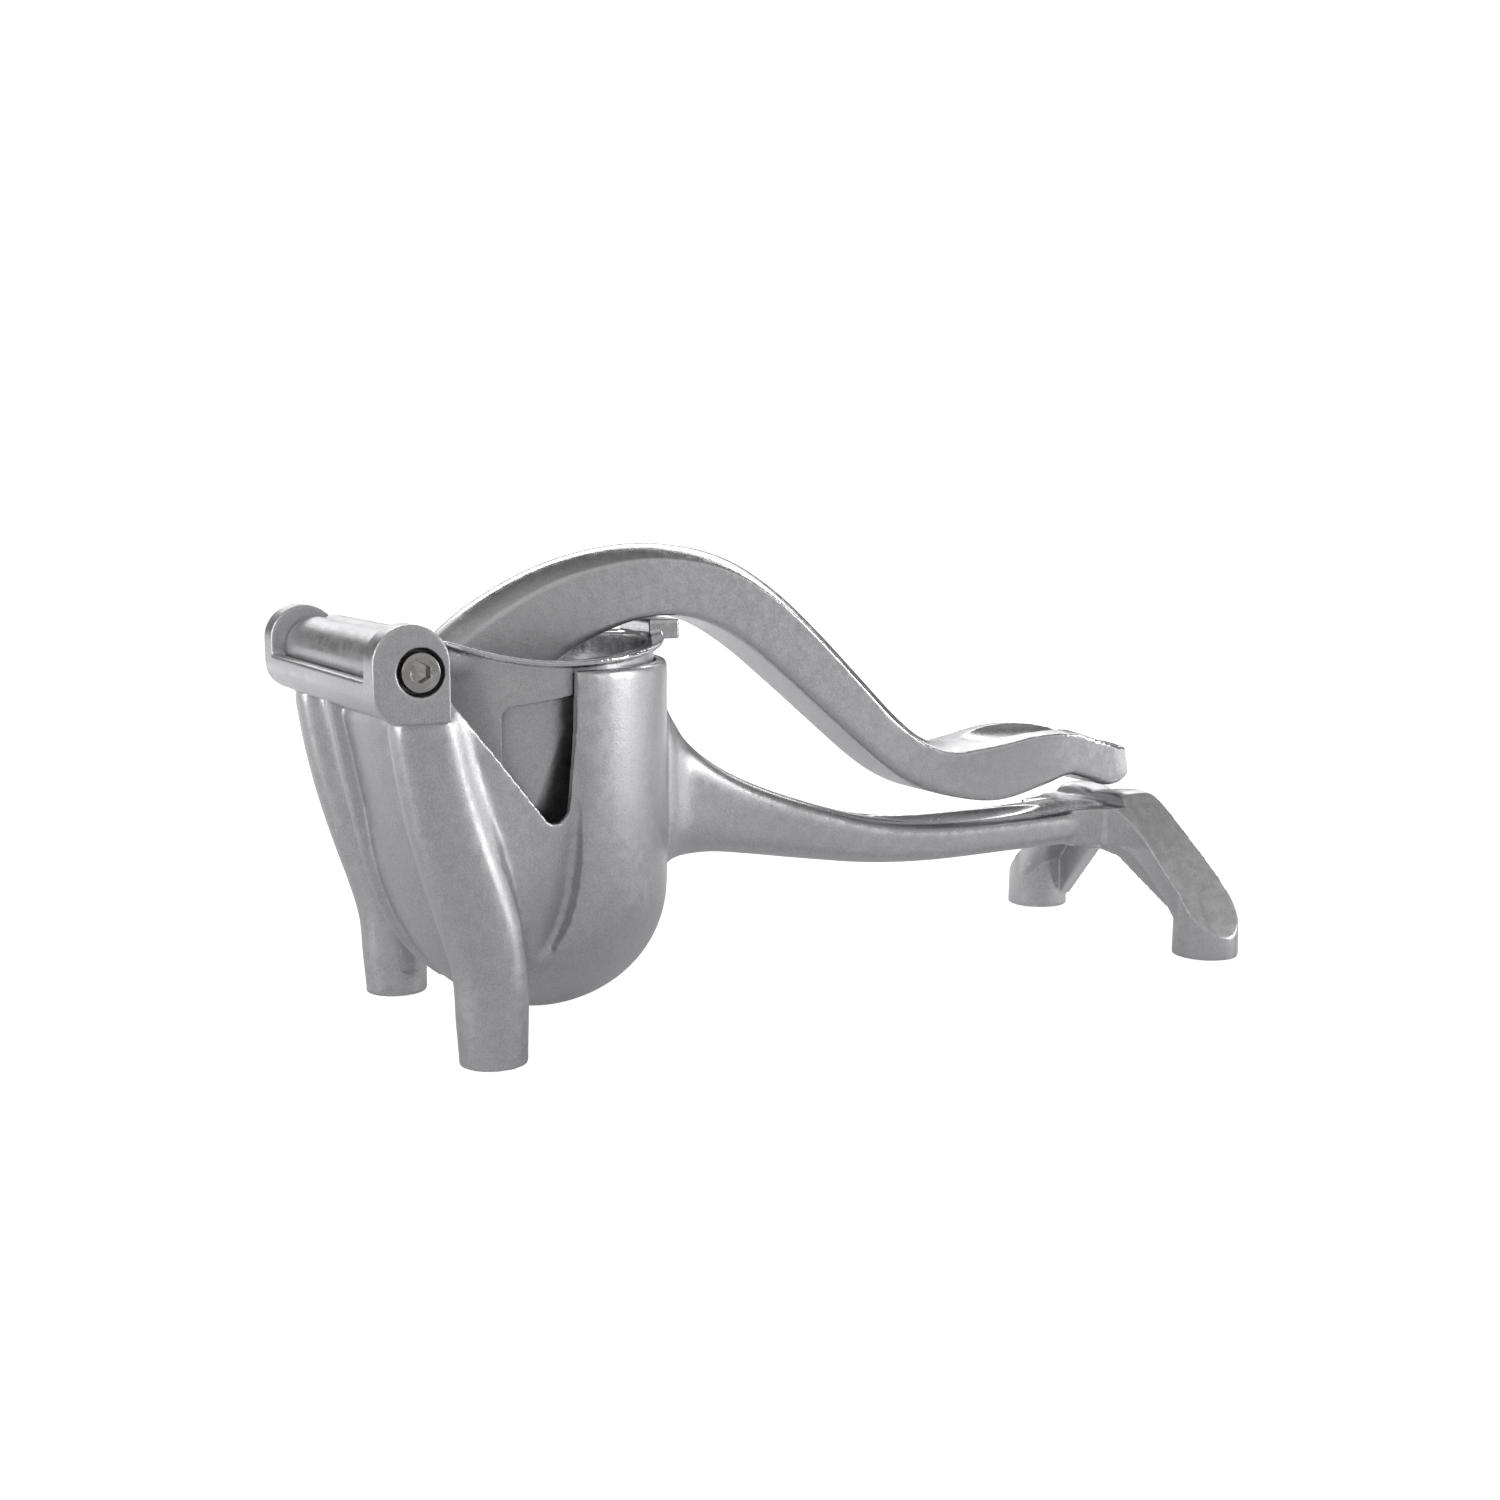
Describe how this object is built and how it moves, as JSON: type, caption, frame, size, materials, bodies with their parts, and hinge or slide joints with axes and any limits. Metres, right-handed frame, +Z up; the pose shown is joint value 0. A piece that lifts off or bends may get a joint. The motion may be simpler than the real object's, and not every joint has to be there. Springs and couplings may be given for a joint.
{
  "type": "hand lever fruit press",
  "caption": "Hand lever fruit press in cast aluminium: pot on four feet with side pouring notches, strainer basket and hinged press lever.",
  "frame": {"origin": "on the ground below the middle of the press's outer box, on its plane of symmetry", "axes": "+X from the hinge towards the handles, +Y across the press along the hinge bolt, +Z up"},
  "size_m": [0.247, 0.0936, 0.1149],
  "materials": {
    "cast_aluminium": "satin, blasted casting with brighter worn edges",
    "basket_aluminium": "satin casting with a filed, brighter rim",
    "hinge_steel": "plain machined steel"
  },
  "bodies": {
    "base": {"pot_body": "cast_aluminium", "strainer_basket": "basket_aluminium", "hinge_bolt": "hinge_steel", "hinge_nut": "hinge_steel", "near_thrust_washer": "hinge_steel", "far_thrust_washer": "hinge_steel"},
    "lever": {"press_lever": "cast_aluminium"}
  },
  "joints": [
    {"name": "lever_hinge", "type": "hinge", "parent": "base", "child": "lever", "pos_m": [-0.113, 0, 0.0896], "axis": [0, -1, 0], "range_deg": [0, 105]}
  ]
}
